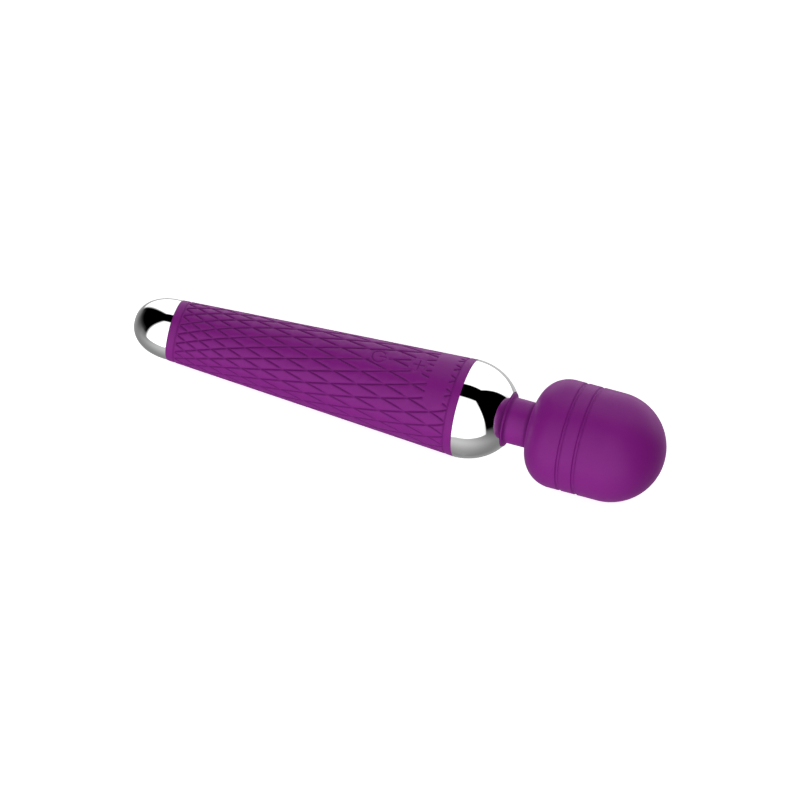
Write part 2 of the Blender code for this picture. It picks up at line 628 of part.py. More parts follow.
finishes = {
    "silicone": material("silicone", (0.22, 0.02, 0.22), 0.5),
    "chrome": material("chrome", (0.8, 0.8, 0.82), 0.05, 1.0),
    "abs": material("abs", (0.05, 0.05, 0.05), 0.5),
    "black_plastic": material("black_plastic", (0.02, 0.02, 0.02), 0.45),
    "ivory_plastic": material("ivory_plastic", (0.7, 0.66, 0.55), 0.5),
    "board": material("board", (0.02, 0.18, 0.06), 0.4),
    "battery": material("battery", (0.05, 0.2, 0.5), 0.35),
    "foam": material("foam", (0.08, 0.08, 0.08), 0.95),
    "steel": material("steel", (0.55, 0.55, 0.56), 0.3, 1.0),
    "bronze": material("bronze", (0.5, 0.32, 0.14), 0.35, 1.0),
    "brass": material("brass", (0.7, 0.52, 0.22), 0.3, 1.0),
    "copper": material("copper", (0.6, 0.28, 0.15), 0.35, 1.0),
    "magnet": material("magnet", (0.12, 0.12, 0.13), 0.5),
    "black_rubber": material("black_rubber", (0.02, 0.02, 0.02), 0.8),
    "black_wire": material("black_wire", (0.02, 0.02, 0.02), 0.5),
    "red_wire": material("red_wire", (0.5, 0.02, 0.02), 0.5),
    "helper": material("helper", (1, 0.5, 0), 0.5),
}
stations = {}
wand = empty("wand_axis")
neck_axis = empty("neck_axis", wand, NECK_PIVOT)
rotor_axis = empty("rotor_axis", neck_axis, MOTOR_FRONT)
button_axes = {name: empty(f"{name}_axis", wand, x) for name, x in BUTTONS.items()}

rear_cap(wand)
charge_socket(wand)
grip_sleeve(wand)
upper_shell(wand)
lower_shell(wand)
battery(wand)
battery_pad("battery_pad_rear", BATTERY_REAR + 3 * MM, wand)
battery_pad("battery_pad_front", BATTERY_FRONT - 8 * MM, wand)
control_board(wand)
tact_switch("power_switch", BUTTONS["power_button"], wand)
tact_switch("plus_switch", BUTTONS["plus_button"], wand)
for screw_name, screw_x in BOARD_SCREWS.items():
    screw(screw_name, screw_x, BOARD_BOTTOM, 5 * MM, wand)
for screw_name, screw_x in SHELL_SCREWS.items():
    seat_z = screw_seat(screw_x)
    screw(screw_name, screw_x, seat_z, 5.5 * MM - seat_z, wand)
for button_name, button_x in BUTTONS.items():
    button(button_name, button_x, button_axes[button_name])
handle_leads(wand)
front_cap(wand)
neck_socket(wand)
neck_sleeve(neck_axis)
neck_spring(neck_axis)
neck_bush(neck_axis)
head_frame(neck_axis)
head_nose(neck_axis)
head_cover(neck_axis)
motor(neck_axis, rotor_axis)
motor_cushion("motor_cushion_rear", 179.5 * MM, 187 * MM, neck_axis)
motor_cushion("motor_cushion_front", 190 * MM, 197 * MM, neck_axis)
eccentric_weight(rotor_axis)
neck_leads(neck_axis, neck_axis)
lie_down(wand)
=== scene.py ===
"""The looks of a cordless wand massager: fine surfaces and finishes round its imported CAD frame, the studio
and the camera.

New pieces are modelled in the wand's own frame: x runs along its axis from the rear tip to the tip of the
head, and z points out of the side with the buttons. LIE takes that frame to the scene.
"""

import json
import math

import bmesh
import bpy
import numpy as np
from mathutils import Matrix, Vector, geometry, kdtree


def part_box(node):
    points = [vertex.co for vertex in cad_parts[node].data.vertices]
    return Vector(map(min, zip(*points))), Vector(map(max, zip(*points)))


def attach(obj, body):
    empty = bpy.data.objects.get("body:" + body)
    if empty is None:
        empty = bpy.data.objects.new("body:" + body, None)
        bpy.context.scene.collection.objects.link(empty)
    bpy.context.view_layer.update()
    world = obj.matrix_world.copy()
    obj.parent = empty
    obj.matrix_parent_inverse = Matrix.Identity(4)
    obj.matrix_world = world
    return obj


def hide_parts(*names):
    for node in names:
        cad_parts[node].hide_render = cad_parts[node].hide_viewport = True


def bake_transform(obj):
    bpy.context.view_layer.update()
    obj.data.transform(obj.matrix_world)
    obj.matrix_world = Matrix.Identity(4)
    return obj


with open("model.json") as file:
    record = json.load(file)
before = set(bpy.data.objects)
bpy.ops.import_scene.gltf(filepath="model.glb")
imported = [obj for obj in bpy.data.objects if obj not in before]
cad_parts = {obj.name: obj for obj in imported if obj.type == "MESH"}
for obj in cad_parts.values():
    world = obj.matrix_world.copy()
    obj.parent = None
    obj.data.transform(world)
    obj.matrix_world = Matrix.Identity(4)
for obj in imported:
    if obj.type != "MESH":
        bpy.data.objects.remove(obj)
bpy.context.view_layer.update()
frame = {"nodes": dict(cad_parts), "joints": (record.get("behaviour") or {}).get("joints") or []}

MM = 0.001

# The wand's stations along its axis and its outer radii, as in the CAD.
REAR_CAP_LENGTH = 16.7 * MM
REAR_RADIUS = 12.24 * MM
REAR_CAP_RADIUS = 12.1 * MM
REAR_CAP_POWER = 2.2
SLEEVE_FRONT = 138.0 * MM
SHELL_FRONT = 132.0 * MM
FRONT_RADIUS = 19.76 * MM
FRONT_CAP_SEMI_AXIS = 21.3 * MM
MOUTH_RADIUS = 11.25 * MM
COLLAR_REAR = 151.3 * MM
LIP_RADIUS = 10.9 * MM
LIP_FRONT = 155.95 * MM
NECK_START = 156.45 * MM
NECK_RADIUS = 9.25 * MM
NECK_FRONT_RADIUS = 9.2 * MM
NECK_BORE = 7.0 * MM
HEAD_REAR = 165.8 * MM
HEAD_RADIUS = 21.9 * MM
SHOULDER_RADIUS = 12.2 * MM
HEAD_LENGTH = 54.2 * MM
HEAD_GROOVES = ((181.95 * MM, 183.5 * MM), (188.55 * MM, 190.15 * MM))
NECK_PIVOT = 161.3 * MM
SLEEVE_WALL = 1.6 * MM
SHELL_WALL = 2.4 * MM
SPIGOT_WALL = 1.5 * MM
CAP_WALL = 1.6 * MM
COVER_WALL = 2.0 * MM
SOCKET_RADIUS = 3.0 * MM
SOCKET_FACE = 0.6 * MM
SOCKET_HOLE = 1.25 * MM
SOCKET_FLANGE = 4.5 * MM
SOCKET_PIN = 0.45 * MM
SPRING_RADIUS = 5.7 * MM
SPRING_WIRE = 0.55 * MM
SPRING_TURNS = 6
LEAD_RADIUS = 0.8 * MM
LEAD_ENDS = (157.5 * MM, 163.8 * MM)

# The neck is made in two stretches, one for each hinge, that meet at NECK_MIDDLE.
NECK_MIDDLE = 160.8 * MM

# The sleeve's pattern: pairs of mirrored spirals between two ring grooves. They cross in rows, whose places
# in mm come from CROSSING_CURVE, the factors of the powers of a row's number. Rows past LAST_CROSSING shrink.
SPIRALS = 20
CROSSING_ANGLE = math.pi / SPIRALS
CROSSING_CURVE = (24.72, 4.769, 0.2079, 0.0391, -0.00248)
LAST_CROSSING = 12
LAST_SHRINK = 1.7
FIRST_ROW = -2
ROW_STEP = 0.02
ROW_STEPS = 800
PATTERN_START = 20.8 * MM
REAR_RING = 19.9 * MM
FRONT_RING = 134.4 * MM
RING_STRENGTH = 0.6
RING_POINTS = 1200
GROOVE_WIDTH = 0.82 * MM
GROOVE_DEPTH = 0.36 * MM
UNROLL_RADIUS = 16.0 * MM
PANEL_REAR = 123.6 * MM
PANEL_FRONT = 132.1 * MM
PANEL_HALF_ANGLE = math.radians(47)
PANEL_CORNER = 1.2 * MM

# For each hand of spiral, where a line fades within a row: the fade's start and end, and what it leaves.
DASH_FADES = {1: (0.8, 0.92, 0.6), -1: (0.7, 0.88, 0.3)}

# The keys and their symbols. EDGE_STEPS is the bevel round a key and its hole: (how far out, how far down).
# A spiral that comes within LINE_PASS of a key's middle stops at LINE_STOP from it.
BUTTONS = {"power_button": 101.4 * MM, "plus_button": 118.0 * MM}
PAD_RADIUS = 3.26 * MM
PAD_WALL = 1.2 * MM
PLUNGER_RADIUS = 2.0 * MM
HOLE_RADIUS = 3.28 * MM
BUTTON_EDGE = 0.03 * MM
EDGE_STEPS = ((BUTTON_EDGE, 0), (BUTTON_EDGE / 3, BUTTON_EDGE / 3), (0, BUTTON_EDGE))
LINE_STOP = 4.3 * MM
LINE_PASS = 3.6 * MM
SYMBOL_WIDTH = 0.56 * MM
SYMBOL_DEPTH = 0.26 * MM
SYMBOL_STRENGTH = 0.8
POWER_RING = 2.7 * MM
POWER_GAP = math.radians(34)
POWER_BAR = (0.4 * MM, 2.9 * MM)
PLUS_REACH = 2.35 * MM

# A carved line has points at LINE_SHARES of its width to each side, and runs out at LINE_REACH. They follow
# every ROUTE_STEP-th point of its route and stay EDGE_CLEARANCE from a round edge, where the line fades over
# EDGE_FADE. EDGE_SLIVER tells the thin triangles between a round edge's facets and its curve.
LINE_SHARES = (0, 0.22, 0.46, 0.78)
LINE_REACH = 0.72
ROUTE_STEP = 8
EDGE_CLEARANCE = 0.1 * MM
EDGE_FADE = 0.3 * MM
EDGE_SLIVER = 0.004 * MM

# What delaunay_2d_cdt is asked for: every triangle, with points closer than FLAT_WELD mm made one.
WHOLE_HULL = 0
FLAT_WELD = 1e-5

# Facets round the turned pieces, round the sleeve's ends, along its seam and round its holes. Points closer
# than WELD are one.
SEGMENTS = 192
SLEEVE_SEGMENTS = 180
SEAM_STEPS = 60
HOLE_SEGMENTS = 72
WELD = 0.004 * MM

TAPER = (FRONT_RADIUS - REAR_RADIUS) / (SLEEVE_FRONT - REAR_CAP_LENGTH)
NOSE_CENTRE = HEAD_REAR + HEAD_LENGTH - HEAD_RADIUS
SHOULDER_CENTRE = HEAD_REAR + SHOULDER_RADIUS

# The photograph's view of the wand: an orthographic camera.
VIEW_WIDTH = 314.9 * MM
AXIS_DIP = math.radians(14.98)
AXIS_TIP = math.radians(12.0)
BUTTON_TURN = math.radians(38.6)
AIM = 111.2 * MM
AIM_DROP = 3.7 * MM

joints = {joint["name"]: joint for joint in frame["joints"]}
AXIS = Vector(joints["motor_spin"]["axis"]).normalized()
SIDE = -Vector(joints["neck_pitch"]["axis"]).normalized()
UP = AXIS.cross(SIDE)
REAR_TIP = Vector(joints["neck_pitch"]["pos_m"]) - NECK_PIVOT * AXIS
LIE = Matrix.Translation(REAR_TIP) @ Matrix((AXIS, SIDE, UP)).transposed().to_4x4()


# ---------------------------------------------------------------- finishes


def node_material(name):
    """A new material, its nodes, links and Principled shader, and the object's coordinates in it."""
    made = bpy.data.materials.new(name)
    made.use_nodes = True
    nodes = made.node_tree.nodes
    place = nodes.new("ShaderNodeTexCoord").outputs["Object"]
    return made, nodes, made.node_tree.links, nodes["Principled BSDF"], place


def noise(nodes, links, place, scale, detail=3.0):
    texture = nodes.new("ShaderNodeTexNoise")
    texture.inputs["Scale"].default_value = scale
    texture.inputs["Detail"].default_value = detail
    links.new(place, texture.inputs["Vector"])
    return texture.outputs["Fac"]


def spread(nodes, links, value, low, high):
    """A noise's middle values taken to another range."""
    ramp = nodes.new("ShaderNodeMapRange")
    ramp.inputs["From Min"].default_value = 0.3
    ramp.inputs["From Max"].default_value = 0.7
    ramp.inputs["To Min"].default_value = low
    ramp.inputs["To Max"].default_value = high
    links.new(value, ramp.inputs["Value"])
    return ramp.outputs["Result"]


def mixed(nodes, links, amount, first, second):
    """A colour between two: each is a colour or a socket."""
    mix = nodes.new("ShaderNodeMix")
    mix.data_type = "RGBA"
    links.new(amount, mix.inputs["Factor"])
    for socket, colour in (("A", first), ("B", second)):
        target = next(s for s in mix.inputs if s.name == socket and s.type == "RGBA")
        if isinstance(colour, tuple):
            target.default_value = (*colour, 1)
        else:
            links.new(colour, target)
    return next(s for s in mix.outputs if s.type == "RGBA")


def bumped(nodes, links, shader, height, strength, distance):
    bump = nodes.new("ShaderNodeBump")
    bump.inputs["Strength"].default_value = strength
    bump.inputs["Distance"].default_value = distance
    links.new(height, bump.inputs["Height"])
    links.new(bump.outputs["Normal"], shader.inputs["Normal"])


def toned(nodes, links, shader, amount, first, second):
    """Give a shader a base colour between two."""
    links.new(mixed(nodes, links, amount, first, second), shader.inputs["Base Color"])


def glossed(nodes, links, shader, amount, low, high):
    """Give a shader a roughness between two."""
    links.new(spread(nodes, links, amount, low, high), shader.inputs["Roughness"])


def shade(colour, factor):
    return tuple(min(1.0, part * factor) for part in colour)


def silicone():
    """Satin silicone: faintly mottled, with a fine grain, and duller in the carved lines and creases, with
    painted shade that darkens them.
    """
    made, nodes, links, shader, place = node_material("purple_silicone")
    colour = (0.237, 0.012, 0.236)
    patches = noise(nodes, links, place, 90, 4)
    base = mixed(nodes, links, patches, shade(colour, 0.94), shade(colour, 1.06))
    # Painted shade: the base colour darkens to 0.54 of itself where the "carved" layer marks a groove or a
    # crease.
    carved = nodes.new("ShaderNodeAttribute")
    carved.attribute_name = "carved"
    toned(nodes, links, shader, carved.outputs["Fac"], base, shade(colour, 0.54))
    handled = noise(nodes, links, place, 260, 5)
    dull = nodes.new("ShaderNodeMath")
    dull.operation = "MULTIPLY_ADD"
    dull.inputs[1].default_value = 0.45
    links.new(carved.outputs["Fac"], dull.inputs[0])
    links.new(spread(nodes, links, handled, 0.37, 0.45), dull.inputs[2])
    links.new(dull.outputs["Value"], shader.inputs["Roughness"])
    shader.inputs["Specular IOR Level"].default_value = 0.15
    shader.inputs["Sheen Weight"].default_value = 0.2
    shader.inputs["Sheen Roughness"].default_value = 0.4
    shader.inputs["Sheen Tint"].default_value = (1, 0.1, 1, 1)
    grain = noise(nodes, links, place, 5200, 2)
    bumped(nodes, links, shader, grain, 0.12, 0.03 * MM)
    return made


def chrome():
    """Mirror chrome over moulded plastic, with a trace of haze where it is handled."""
    made, nodes, links, shader, place = node_material("mirror_chrome")
    haze = noise(nodes, links, place, 120, 4)
    toned(nodes, links, shader, haze, (0.94, 0.94, 0.945), (0.97, 0.97, 0.97))
    glossed(nodes, links, shader, haze, 0.015, 0.035)
    shader.inputs["Metallic"].default_value = 1.0
    return made


def moulded(name, colour, roughness, grain=1500, relief=0.05):
    """Moulded plastic, rubber or insulation: fine grain, and a slight change of tone and gloss."""
    made, nodes, links, shader, place = node_material(name)
    patches = noise(nodes, links, place, 150, 3)
    toned(nodes, links, shader, patches, shade(colour, 0.88), shade(colour, 1.12))
    glossed(nodes, links, shader, patches, roughness - 0.05, roughness + 0.05)
    bumped(nodes, links, shader, noise(nodes, links, place, grain, 2), 0.4, relief * MM)
    return made


def machined(name, colour, roughness):
    """Turned or drawn metal, with fine lines round it and a few duller patches."""
    made, nodes, links, shader, place = node_material(name)
    stretched = nodes.new("ShaderNodeMapping")
    stretched.inputs["Scale"].default_value = (9000, 300, 300)
    links.new(place, stretched.inputs["Vector"])
    lines = noise(nodes, links, stretched.outputs["Vector"], 1.0, 2)
    patches = noise(nodes, links, place, 200, 3)
    toned(nodes, links, shader, patches, shade(colour, 0.85), shade(colour, 1.1))
    glossed(nodes, links, shader, patches, roughness - 0.06, roughness + 0.08)
    shader.inputs["Metallic"].default_value = 1.0
    bumped(nodes, links, shader, lines, 0.25, 0.01 * MM)
    return made


def foam():
    """Open-cell foam: small round pores."""
    made, nodes, links, shader, place = node_material("foam")
    pores = nodes.new("ShaderNodeTexVoronoi")
    pores.inputs["Scale"].default_value = 2200
    links.new(place, pores.inputs["Vector"])
    toned(nodes, links, shader, pores.outputs["Distance"], (0.03, 0.03, 0.032), (0.12, 0.12, 0.125))
    shader.inputs["Roughness"].default_value = 0.95
    bumped(nodes, links, shader, pores.outputs["Distance"], 0.8, 0.2 * MM)
    return made


def circuit():
    """Green solder mask with traces under it in a lighter green."""
    made, nodes, links, shader, place = node_material("board")
    traces = nodes.new("ShaderNodeTexBrick")
    traces.inputs["Scale"].default_value = 260
    traces.inputs["Mortar Size"].default_value = 0.03
    traces.inputs["Color1"].default_value = (0.012, 0.13, 0.045, 1)
    traces.inputs["Color2"].default_value = (0.014, 0.16, 0.055, 1)
    traces.inputs["Mortar"].default_value = (0.03, 0.26, 0.09, 1)
    links.new(place, traces.inputs["Vector"])
    links.new(traces.outputs["Color"], shader.inputs["Base Color"])
    glossed(nodes, links, shader, noise(nodes, links, place, 300), 0.25, 0.4)
    bumped(nodes, links, shader, traces.outputs["Fac"], 0.5, 0.03 * MM)
    return made


def windings():
    """The rotor: laminated steel with enamelled copper wire."""
    made, nodes, links, shader, place = node_material("rotor_metal")
    wires = nodes.new("ShaderNodeTexWave")
    wires.inputs["Scale"].default_value = 600
    wires.inputs["Distortion"].default_value = 1.5
    links.new(place, wires.inputs["Vector"])
    toned(nodes, links, shader, wires.outputs["Fac"], (0.32, 0.13, 0.06), (0.72, 0.34, 0.18))
    glossed(nodes, links, shader, wires.outputs["Fac"], 0.3, 0.45)
    shader.inputs["Metallic"].default_value = 1.0
    bumped(nodes, links, shader, wires.outputs["Fac"], 0.6, 0.08 * MM)
    return made


# ---------------------------------------------------------------- outlines


def sleeve_radius(x):
    """The sleeve's outer radius at a station along the axis."""
    return REAR_RADIUS + (x - REAR_CAP_LENGTH) * TAPER


def arc(centre, radius, first, last, points):
    """Points of an arc in an outline, from one angle to another in degrees; 0 is forwards and 90 outwards."""
    outline = []
    for turn in np.radians(np.linspace(first, last, points)):
        outline.append((centre[0] + radius * math.cos(turn), centre[1] + radius * math.sin(turn)))
    return outline


def dome(root_x, tip_x, radius, from_radius, to_radius, points, power=2.0):
    """The outline of a dome with its tip at tip_x, between two radii. A power of 2 is an ellipse."""
    outline = []
    first = math.asin((from_radius / radius) ** (power / 2))
    last = math.asin((to_radius / radius) ** (power / 2))
    for turn in np.linspace(first, last, points):
        along = abs(math.cos(turn)) ** (2 / power)
        outline.append((root_x + (tip_x - root_x) * along, radius * math.sin(turn) ** (2 / power)))
    return outline


def rounded(corners, steps=5):
    """An outline through corners given as (x, radius, fillet). The first and last corners stay sharp."""
    outline = [corners[0][:2]]
    for before, here, after in zip(corners, corners[1:], corners[2:]):
        corner = Vector(here[:2])
        back = (Vector(before[:2]) - corner).normalized()
        on = (Vector(after[:2]) - corner).normalized()
        opening = back.angle(on)
        if here[2] == 0 or opening > math.radians(179):
            outline.append(here[:2])
            continue
        centre = corner + (back + on).normalized() * here[2] / math.sin(opening / 2)
        first = corner + back * here[2] / math.tan(opening / 2) - centre
        last = corner + on * here[2] / math.tan(opening / 2) - centre
        sweep = first.angle_signed(last)
        for step in range(steps + 1):
            turned_by = Matrix.Rotation(-sweep * step / steps, 2)
            outline.append(tuple(centre + turned_by @ first))
    return outline + [corners[-1][:2]]


def refined(outline, longest):
    """The same outline with its long straight stretches divided."""
    fine = [outline[0]]
    for here, after in zip(outline, outline[1:]):
        parts = max(1, math.ceil(math.dist(here, after) / longest))
        for part in range(1, parts + 1):
            share = part / parts
            fine.append((here[0] + (after[0] - here[0]) * share, here[1] + (after[1] - here[1]) * share))
    return fine


# ---------------------------------------------------------------- mesh work


def add_ring(bm, x, radius, segments):
    turns = (2 * math.pi * step / segments for step in range(segments))
    return [bm.verts.new((x, radius * math.sin(turn), radius * math.cos(turn))) for turn in turns]


def join_rings(bm, first, second):
    """Faces between two rings, or between a ring and a single point on the axis."""
    count = max(len(first), len(second))
    if count == 1:
        return
    for step in range(count):
        after = (step + 1) % count
        if len(first) == 1:
            bm.faces.new((first[0], second[step], second[after]))
        elif len(second) == 1:
            bm.faces.new((first[step], second[0], first[after]))
        else:
            bm.faces.new((first[step], second[step], second[after], first[after]))


def turned(outline, segments=SEGMENTS, closed=True):
    """A solid of revolution about the wand's axis. A closed outline is a hollow piece's; an open one's ends
    lie on the axis."""
    bm = bmesh.new()
    rings = []
    for x, radius in outline:
        if radius < 1e-7:
            rings.append([bm.verts.new((x, 0, 0))])
        else:
            rings.append(add_ring(bm, x, radius, segments))
    for first, second in zip(rings, rings[1:]):
        join_rings(bm, first, second)
    if closed:
        join_rings(bm, rings[-1], rings[0])
    bmesh.ops.recalc_face_normals(bm, faces=bm.faces)
    return bm


def swept(points, radius, sides=14):
    """A round wire along a line of points."""
    bm = bmesh.new()
    rings = []
    side = Vector((0, 0, 1))
    for index, point in enumerate(points):
        ahead = Vector(points[min(index + 1, len(points) - 1)])
        behind = Vector(points[max(index - 1, 0)])
        along = (ahead - behind).normalized()
        side = (side - along * side.dot(along)).normalized()
        other = along.cross(side)
        ring = []
        for step in range(sides):
            turn = 2 * math.pi * step / sides
            out = math.cos(turn) * side + math.sin(turn) * other
            ring.append(bm.verts.new(Vector(point) + radius * out))
        rings.append(ring)
    for first, second in zip(rings, rings[1:]):
        join_rings(bm, first, second)
    bm.faces.new(rings[0])
    bm.faces.new(rings[-1])
    bmesh.ops.recalc_face_normals(bm, faces=bm.faces)
    return bm


def paint_crease_shade(bm, creases):
    """Paint shade into the creases of a turned piece: the "carved" layer says how far into a crease's painted
    shade each vertex is, which also makes it duller. creases are (x, reach, strength).
    """
    layer = bm.verts.layers.float.new("carved")
    for vertex in bm.verts:
        for x, reach, strength in creases:
            share = min(1.0, abs(vertex.co.x - x) / reach)
            vertex[layer] = max(vertex[layer], strength * (math.cos(math.pi * share) + 1) / 2)
    return bm


def add_piece(name, bm, finish, slot, nodes, sharp=40):
    """A piece from a mesh in the wand's frame. It stands for the CAD nodes named."""
    mesh = bpy.data.meshes.new(name)
    bm.transform(LIE)
    bm.to_mesh(mesh)
    bm.free()
    mesh.shade_smooth()
    mesh.set_sharp_from_angle(angle=math.radians(sharp))
    mesh.materials.append(finish)
    piece = bpy.data.objects.new(name, mesh)
    bpy.context.collection.objects.link(piece)
    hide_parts(*nodes)
    return piece


# ---------------------------------------------------------------- carved surfaces


def groove_share(middles, strengths, place, reach):
    """How deep the carved lines are at a place: 1 in the middle of a strong line, down to 0 at its edge."""
    share = 0.0
    for _, index, distance in middles.find_range(place, reach):
        share = max(share, strengths[index] * (math.cos(math.pi * distance / reach) + 1) / 2)
    return share


def flank(route, offset, stretch):
    """The line at a distance beside a route. stretch is the real length of a unit across at a station."""
    beside = []
    for index, (across, along, _) in enumerate(route):
        behind = route[max(index - 1, 0)]
        ahead = route[min(index + 1, len(route) - 1)]
        real = stretch(along)
        step_across = (ahead[0] - behind[0]) * real
        step_along = ahead[1] - behind[1]
        length = math.hypot(step_across, step_along)
        moved = (across - offset * step_along / length / real, along + offset * step_across / length)
        beside.append(moved)
    return beside


def overrun(route, reach, stretch):
    """The point past the end of a route, on the line of its last step."""
    (across, along, _), (behind_across, behind_along, _) = route[-1], route[-2]
    real = stretch(along)
    step_across = (across - behind_across) * real
    step_along = along - behind_along
    length = math.hypot(step_across, step_along)
    return (across + reach * step_across / length / real, along + reach * step_along / length)


def clipped(route, limit):
    """The runs of a route that lie within limit of the middle line, cut exactly at the limit."""
    runs = []
    run = []
    for here, after in zip(route, route[1:]):
        inside = abs(here[0]) <= limit
        if inside and not run:
            run = [here]
        if inside != (abs(after[0]) <= limit):
            edge = math.copysign(limit, after[0] if inside else here[0])
            share = (edge - here[0]) / (after[0] - here[0])
            crossing = (edge, here[1] + (after[1] - here[1]) * share)
            if inside:
                runs.append(run + [crossing])
                run = []
            else:
                run = [crossing, after]
        elif inside:
            run.append(after)
    if len(run) > 1:
        runs.append(run)
    return [run for run in runs if math.dist(run[0], run[-1]) > 0.01 * MM]


def thinned(route, step):
    """Every step-th point of a route and its last one."""
    kept = route[::step]
    if kept[-1] != route[-1]:
        kept.append(route[-1])
    return kept


def clear_runs(line, gap):
    """The stretches of a line that keep clear of the surface's round edges."""
    runs = [[]]
    for point in line:
        if gap(*point) > EDGE_CLEARANCE:
            runs[-1].append(point)
        elif runs[-1]:
            runs.append([])
    return [run for run in runs if len(run) > 1]


def carve(bm, loops, routes, width, depth, surface, stretch, gap, limit=None, spacing=2.0 * MM, flip=True):
    """Add a surface with lines carved into it. Its "carved" layer says how deep, from 0 to 1, and so how much
    painted shade the silicone puts in the line.

    loops are the edges of the surface and of its holes: closed lines of (across, along) points of the flat
    surface, which surface(across, along, sink) rolls up. routes are the carved lines' (across, along,
    strength) points. gap says how far a flat point is from the nearest round edge, less than 0 beyond it.
    """
    lines = []
    middles = kdtree.KDTree(sum(len(route) for route in routes) + 1)
    strengths = []
    reach = LINE_REACH * width
    for route in routes:
        for across, along, strength in route:
            middles.insert(surface(across, along, 0), len(strengths))
            strengths.append(strength)
        coarse = thinned(route, ROUTE_STEP)
        for share in LINE_SHARES:
            for offset in {share * width, -share * width}:
                lines.append(flank(coarse, offset, stretch))
        for run in (coarse, coarse[::-1]):
            lines.append([run[-1][:2]] + [overrun(run, share * width, stretch) for share in LINE_SHARES[1:]])
    middles.balance()
    if limit:
        lines = [run for line in lines for run in clipped(line, limit)]
    lines = [run for line in lines for run in clear_runs(line, gap)]
    lines += [loop + loop[:1] for loop in loops]
    points = []
    edges = []
    for line in lines:
        edges += [(len(points) + step, len(points) + step + 1) for step in range(len(line) - 1)]
        points += line
    low = np.array(points).min(axis=0)
    high = np.array(points).max(axis=0)
    for row, along in enumerate(np.arange(low[1], high[1], spacing)):
        for across in np.arange(low[0] + (row % 2) * spacing / 2, high[0], spacing):
            edge_gap = min(high[0] - across, across - low[0], high[1] - along, along - low[1])
            if edge_gap < spacing / 4 or gap(across, along) < EDGE_CLEARANCE:
                continue
            nearest = middles.find(surface(across, along, 0))[2]
            if nearest is None or nearest > 0.4 * spacing + width / 2:
                points.append((across, along))
    flat = [Vector((across, along)) / MM for across, along in points]
    flat, _, faces, _, _, _ = geometry.delaunay_2d_cdt(flat, edges, [], WHOLE_HULL, FLAT_WELD)
    layer = bm.verts.layers.float.get("carved") or bm.verts.layers.float.new("carved")
    made = []
    for point in flat:
        across, along = point * MM
        share = groove_share(middles, strengths, surface(across, along, 0), reach)
        share *= min(1.0, max(0.0, gap(across, along) / EDGE_FADE))
        vertex = bm.verts.new(surface(across, along, share * depth))
        # The share also sets the painted shade that the silicone finish puts in the line.
        vertex[layer] = share
        made.append(vertex)
    for face in faces:
        centre = sum((flat[index] for index in face), Vector((0, 0))) / len(face) * MM
        if gap(*centre) > -EDGE_SLIVER:
            corners = [made[index] for index in face]
            bm.faces.new(corners[::-1] if flip else corners)


def add_strip(bm, loops):
    """Faces between matching loops of places."""
    rings = [[bm.verts.new(place) for place in loop] for loop in loops]
    for first, second in zip(rings, rings[1:]):
        join_rings(bm, first, second)


# ---------------------------------------------------------------- the pieces


def sleeve_surface(across, along, sink):
    """The place on the sleeve for a flat point. across is measured from the buttons, at UNROLL_RADIUS."""
    turn = across / UNROLL_RADIUS
    radius = sleeve_radius(along) - sink
    return Vector((along, radius * math.sin(turn), radius * math.cos(turn)))


def sleeve_stretch(along):
    return sleeve_radius(along) / UNROLL_RADIUS


def crossing_station(row):
    """Where a row of crossings lies. The diamonds grow towards the head, all but the last."""
    last = max(0.0, row - LAST_CROSSING)
    along = sum(factor * row**power for power, factor in enumerate(CROSSING_CURVE))
    return (along - LAST_SHRINK * last**2) * MM


def on_panel(turn, x):
    """Whether a point is on the blank panel beside the keys."""
    beyond_side = max(0.0, (abs(turn) - PANEL_HALF_ANGLE) * sleeve_radius(x) + PANEL_CORNER)
    beyond_end = max(0.0, PANEL_REAR + PANEL_CORNER - x, x - PANEL_FRONT + PANEL_CORNER)
    return math.hypot(beyond_side, beyond_end) < PANEL_CORNER


def button_gap(turn, x, button_x, surface_radius=sleeve_radius):
    """How far a point of the sleeve is from a button's middle, as seen along its travel."""
    return math.hypot(surface_radius(x) * math.sin(turn), x - button_x) if abs(turn) < 1 else math.inf


def dash_strength(row, hand):
    """Each line starts crisply at a crossing and fades before the next one, towards the head."""
    share = row - math.floor(row + 1e-6)
    start, end, faded = DASH_FADES[hand]
    return float(np.interp(share, (start, end), (1.0, faded)))


def spiral_routes():
    """Every stretch of the two families of spirals. A line that would cross a button stops short of it."""
    rows = [FIRST_ROW + ROW_STEP * step for step in range(ROW_STEPS)]
    stations = [(row, crossing_station(row)) for row in rows]
    stations = [(row, x) for row, x in stations if PATTERN_START < x < FRONT_RING]
    routes = []
    for hand in (1, -1):
        for spiral in range(-SPIRALS, 2 * SPIRALS):
            line = [(row, CROSSING_ANGLE * (2 * spiral + hand * row), x) for row, x in stations]
            stops = []
            for button_x in BUTTONS.values():
                if min(button_gap(turn, x, button_x) for _, turn, x in line) < LINE_PASS:
                    stops.append(button_x)
            run = []
            for row, turn, x in line:
                blocked = any(button_gap(turn, x, button_x) < LINE_STOP for button_x in stops)
                if blocked or on_panel(turn, x) or abs(turn) > math.pi + CROSSING_ANGLE:
                    routes.append(run)
                    run = []
                else:
                    run.append((turn * UNROLL_RADIUS, x, dash_strength(row, hand)))
            routes.append(run)
    return [route for route in routes if len(route) > 3]


def ring_routes():
    """The two faint grooves round the sleeve's ends."""
    limit = (math.pi + CROSSING_ANGLE) * UNROLL_RADIUS
    turns = np.linspace(-limit, limit, RING_POINTS)
    return [[(across, x, RING_STRENGTH) for across in turns] for x in (REAR_RING, FRONT_RING)]


def button_loop(x, radius, surface_radius):
    """A circle round a button, as seen along its travel, in the sleeve's flat coordinates."""
    loop = []
    for step in range(HOLE_SEGMENTS):
        turn = 2 * math.pi * step / HOLE_SEGMENTS
        along = x + radius * math.cos(turn)
        across = math.asin(radius * math.sin(turn) / surface_radius(along))
        loop.append((across * UNROLL_RADIUS, along))
    return loop


